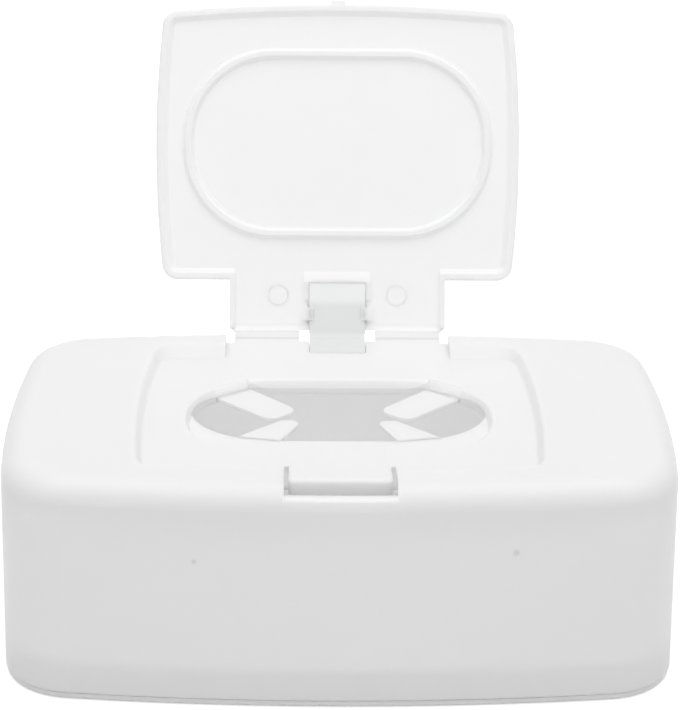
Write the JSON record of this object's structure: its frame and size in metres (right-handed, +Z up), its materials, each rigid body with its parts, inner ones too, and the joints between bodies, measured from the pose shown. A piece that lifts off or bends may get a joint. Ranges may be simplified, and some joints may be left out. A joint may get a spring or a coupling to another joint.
{
  "type": "wipes dispenser",
  "caption": "Low rounded white plastic tub for wet wipes with an open hinged lid, finger-slotted dispensing opening, latch button and pull-off base tray.",
  "frame": {"origin": "on the surface that the tub stands on, under the middle of the tub", "axes": "+X across the front to the right as the user sees it, +Y away from the user to the lid's hinge, +Z up"},
  "size_m": [0.2018, 0.1693, 0.1675],
  "materials": {
    "tray_plastic": "moulded white polypropylene, fine satin",
    "casing_plastic": "moulded white polypropylene, fine satin",
    "lid_plastic": "thin moulded white polypropylene, lets some light through",
    "hinge_plastic": "polypropylene film, bends without breaking",
    "strap_plastic": "natural polypropylene band, slightly milky"
  },
  "bodies": {
    "base": {"base_tray": "tray_plastic"},
    "casing": {"casing": "casing_plastic", "living_hinge_left": "hinge_plastic", "living_hinge_right": "hinge_plastic", "snap_strap": "strap_plastic"},
    "lid": {"lid": "lid_plastic"},
    "button": {"latch_button": "casing_plastic"},
    "finger_back_left": {"finger_back_left": "casing_plastic"},
    "finger_back_right": {"finger_back_right": "casing_plastic"},
    "finger_front_left": {"finger_front_left": "casing_plastic"},
    "finger_front_right": {"finger_front_right": "casing_plastic"}
  },
  "joints": [
    {"name": "casing_lift", "type": "slide", "parent": "base", "child": "casing", "axis": [0, 0, 1], "range_m": [0, 0.08]},
    {"name": "lid_hinge", "type": "hinge", "parent": "casing", "child": "lid", "pos_m": [0, 0.06135, 0.0661], "axis": [1, 0, 0], "range_deg": [0, 112.6], "stiffness_Nm_per_rad": 0.01, "springref_deg": -17.19, "deforming": ["living_hinge_left", "living_hinge_right", "snap_strap"]},
    {"name": "button_press", "type": "hinge", "parent": "casing", "child": "button", "pos_m": [0, -0.04735, 0.0651], "axis": [1, 0, 0], "range_deg": [0, 7], "stiffness_Nm_per_rad": 0.05},
    {"name": "finger_back_left_bend", "type": "hinge", "parent": "casing", "child": "finger_back_left", "pos_m": [-0.03267, 0.02129, 0.0627], "axis": [-0.8136, -0.5814, 0], "range_deg": [-10, 10], "stiffness_Nm_per_rad": 0.01},
    {"name": "finger_back_right_bend", "type": "hinge", "parent": "casing", "child": "finger_back_right", "pos_m": [0.03267, 0.02129, 0.0627], "axis": [-0.8136, 0.5814, 0], "range_deg": [-10, 10], "stiffness_Nm_per_rad": 0.01},
    {"name": "finger_front_left_bend", "type": "hinge", "parent": "casing", "child": "finger_front_left", "pos_m": [-0.02422, -0.01361, 0.0627], "axis": [0.9793, -0.2025, 0], "range_deg": [-10, 10], "stiffness_Nm_per_rad": 0.01},
    {"name": "finger_front_right_bend", "type": "hinge", "parent": "casing", "child": "finger_front_right", "pos_m": [0.02422, -0.01361, 0.0627], "axis": [0.9793, 0.2025, 0], "range_deg": [-10, 10], "stiffness_Nm_per_rad": 0.01}
  ]
}
